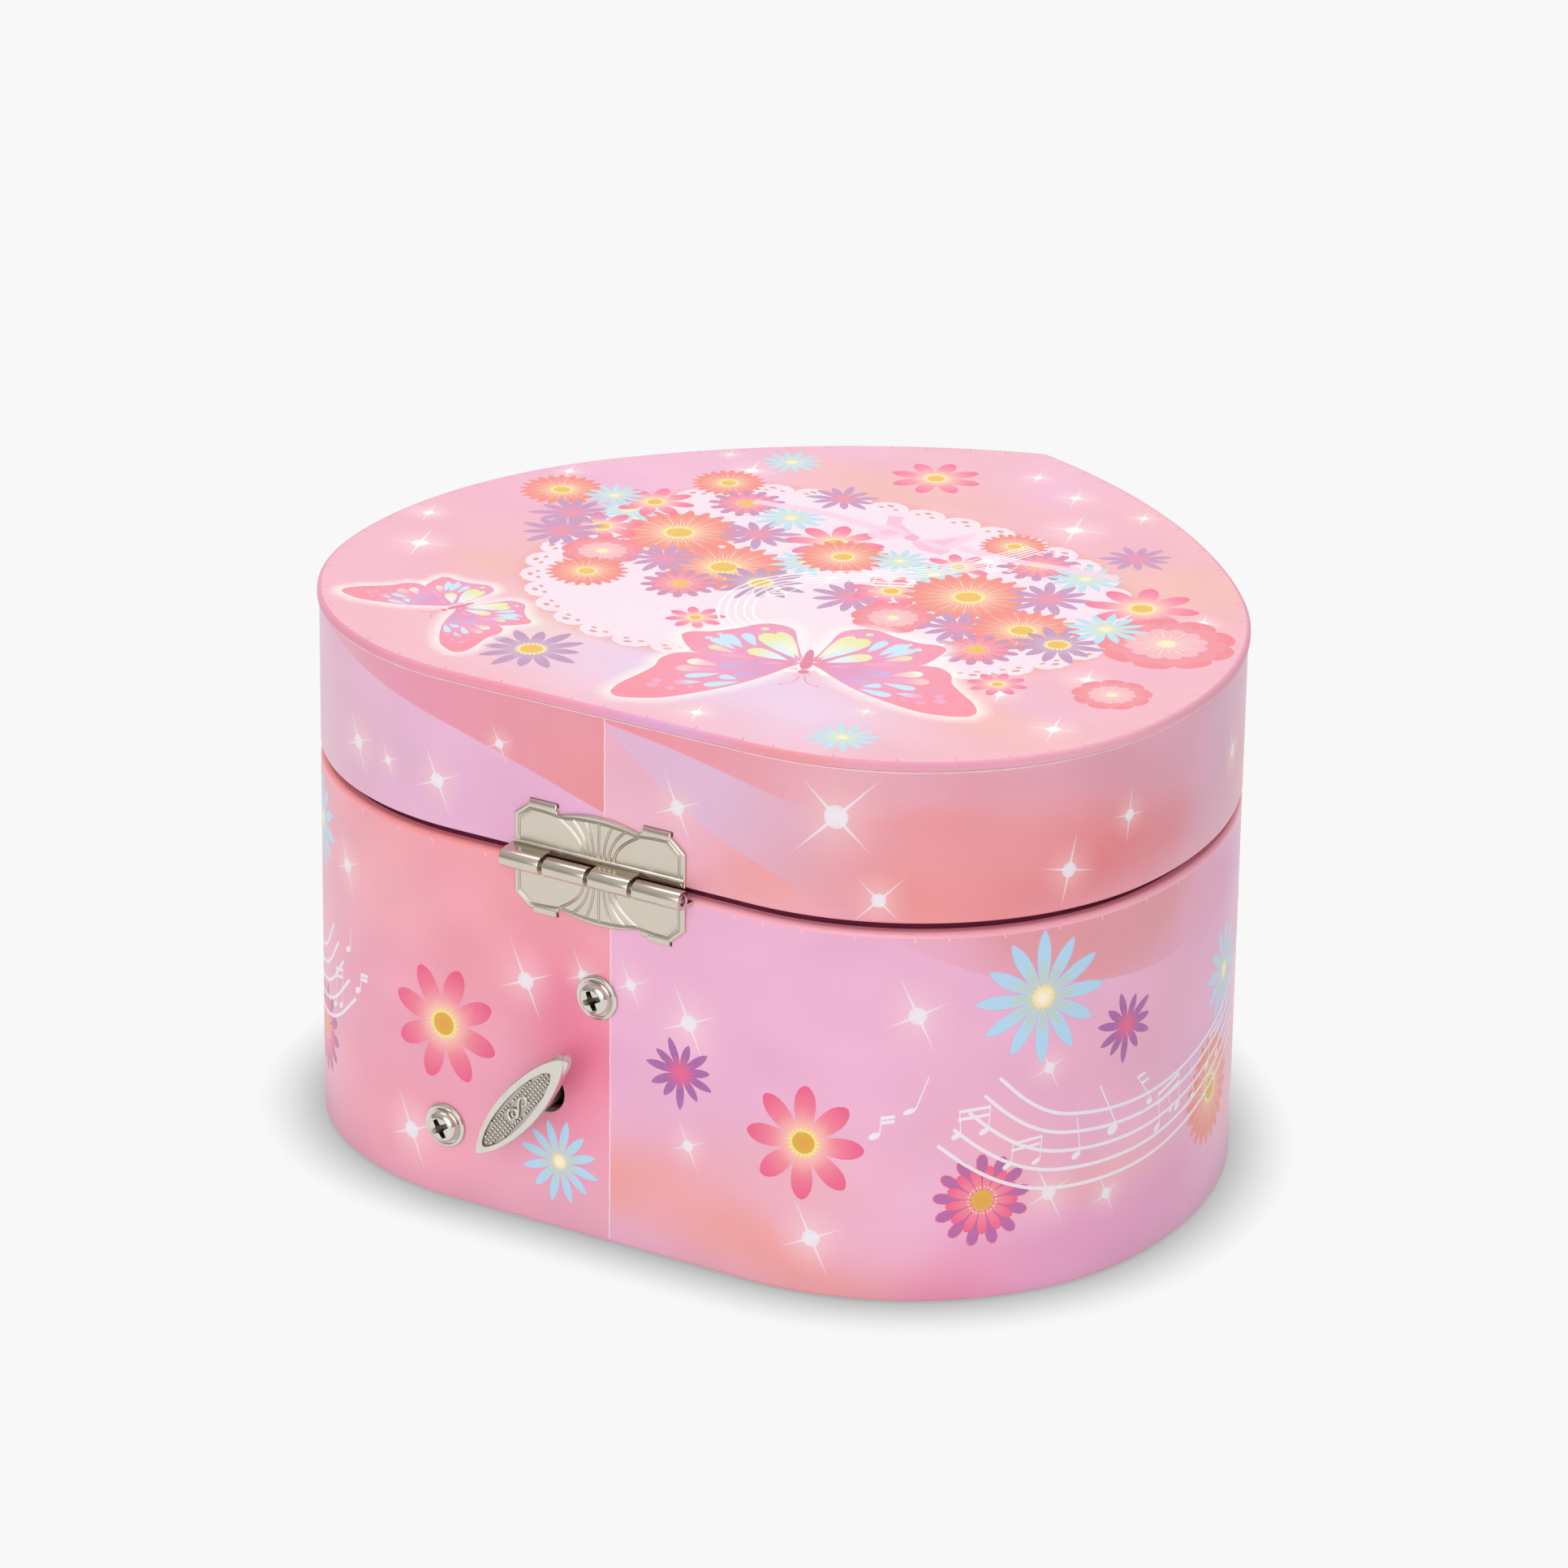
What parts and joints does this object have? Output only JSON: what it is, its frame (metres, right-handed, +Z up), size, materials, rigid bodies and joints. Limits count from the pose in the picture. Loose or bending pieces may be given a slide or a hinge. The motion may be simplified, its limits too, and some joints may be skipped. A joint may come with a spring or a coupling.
{
  "type": "wind-up music box",
  "caption": "Heart-shaped paper-covered jewellery box with a hinged lid, a wind-up comb movement and a turning butterfly inside.",
  "frame": {"origin": "middle of the heart outline's width and depth, on the underside", "axes": "+X to the left seen from behind, along the hinge; +Y to the back, where the hinge and key are; +Z up"},
  "size_m": [0.1558, 0.1511, 0.0929],
  "materials": {
    "case_paper": "satin laminated printed paper",
    "lid_paper": "satin laminated printed paper",
    "panel_paper": "satin laminated printed paper",
    "frame_paper": "satin",
    "grey_board": "raw grey board",
    "base_felt": "flocked paper",
    "plum_flock": "flocked",
    "plum_velvet": "velvet",
    "nickel_plate": "nickel plated",
    "spring_steel": "drawn steel",
    "comb_steel": "ground",
    "zinc_casting": "die cast",
    "brass": "turned",
    "mirror_glass": "silvered",
    "white_plastic": "moulded",
    "figure_plastic": "moulded, pearl"
  },
  "bodies": {
    "case": {"base_board": "grey_board", "base_felt": "base_felt", "case_wall": "grey_board", "case_wrap": "case_paper", "case_lining": "plum_flock", "tray_floor": "plum_flock", "divider_board": "plum_flock", "tray_partition": "plum_flock", "deck_board": "plum_flock", "deck_blocks": "grey_board", "ring_roll_1": "plum_velvet", "ring_roll_2": "plum_velvet", "ring_roll_3": "plum_velvet", "hinge_leaf_lower": "nickel_plate", "hinge_pin": "spring_steel", "movement_screws": "nickel_plate", "bedplate": "zinc_casting", "spring_housing": "nickel_plate", "mainspring": "spring_steel", "comb": "comb_steel", "comb_screws": "nickel_plate", "governor_frame": "brass", "governor_screw": "nickel_plate", "spindle_bracket": "nickel_plate", "bracket_screw": "nickel_plate", "rod_guide": "brass"},
    "lid": {"lid_wall": "grey_board", "lid_wrap": "lid_paper", "lid_panel": "grey_board", "lid_panel_wrap": "panel_paper", "lid_lining": "plum_flock", "lid_ceiling": "plum_flock", "mirror_frame": "frame_paper", "lid_mirror": "mirror_glass", "stop_pad": "plum_flock", "hinge_leaf_upper": "nickel_plate"},
    "great_wheel": {"great_wheel": "brass", "clutch_spring": "spring_steel"},
    "winding_key": {"winding_key": "nickel_plate", "winding_arbor": "spring_steel"},
    "drum": {"music_cylinder": "brass", "cylinder_pins": "spring_steel", "cylinder_arbor": "spring_steel", "cylinder_pinion": "brass", "cylinder_gear": "brass"},
    "governor": {"governor_arbor": "spring_steel", "worm_wheel": "brass"},
    "air_brake": {"worm_shaft": "spring_steel", "governor_fly": "white_plastic"},
    "stop_rod": {"stop_rod": "spring_steel"},
    "figure": {"figure_spindle": "spring_steel", "spindle_pinion": "brass", "figure_spring": "spring_steel", "butterfly": "figure_plastic"}
  },
  "joints": [
    {"name": "lid_hinge", "type": "hinge", "parent": "case", "child": "lid", "pos_m": [0, 0.07447, 0.06485], "axis": [-1, 0, 0], "range_deg": [0, 95]},
    {"name": "drum_turn", "type": "hinge", "parent": "case", "child": "drum", "pos_m": [0.0342, 0.05097, 0.024], "axis": [1, 0, 0], "continuous": true},
    {"name": "great_wheel_turn", "type": "hinge", "parent": "case", "child": "great_wheel", "pos_m": [0.0103, 0.05657, 0.024], "axis": [0, -1, 0], "continuous": true},
    {"name": "winding_key_turn", "type": "hinge", "parent": "great_wheel", "child": "winding_key", "pos_m": [0.0103, 0.06797, 0.024], "axis": [0, -1, 0], "continuous": true},
    {"name": "governor_turn", "type": "hinge", "parent": "case", "child": "governor", "pos_m": [0.0353, 0.05097, 0.0348], "axis": [1, 0, 0], "continuous": true},
    {"name": "air_brake_turn", "type": "hinge", "parent": "case", "child": "air_brake", "pos_m": [0.0353, 0.05557, 0.0348], "axis": [0, 0, 1], "continuous": true},
    {"name": "figure_turn", "type": "hinge", "parent": "case", "child": "figure", "pos_m": [0.0103, 0.05097, 0.036], "axis": [0, 0, 1], "continuous": true},
    {"name": "stop_rod_slide", "type": "slide", "parent": "case", "child": "stop_rod", "axis": [0, 0, 1], "range_m": [0, 0.003]}
  ],
  "couplings": [
    {"joint": "great_wheel_turn", "follows": "drum_turn", "ratio": 0.33333},
    {"joint": "governor_turn", "follows": "drum_turn", "ratio": -4.4},
    {"joint": "air_brake_turn", "follows": "drum_turn", "ratio": 70.4},
    {"joint": "figure_turn", "follows": "drum_turn", "ratio": 1},
    {"joint": "stop_rod_slide", "follows": "lid_hinge", "m_per_rad": 0.0018}
  ]
}
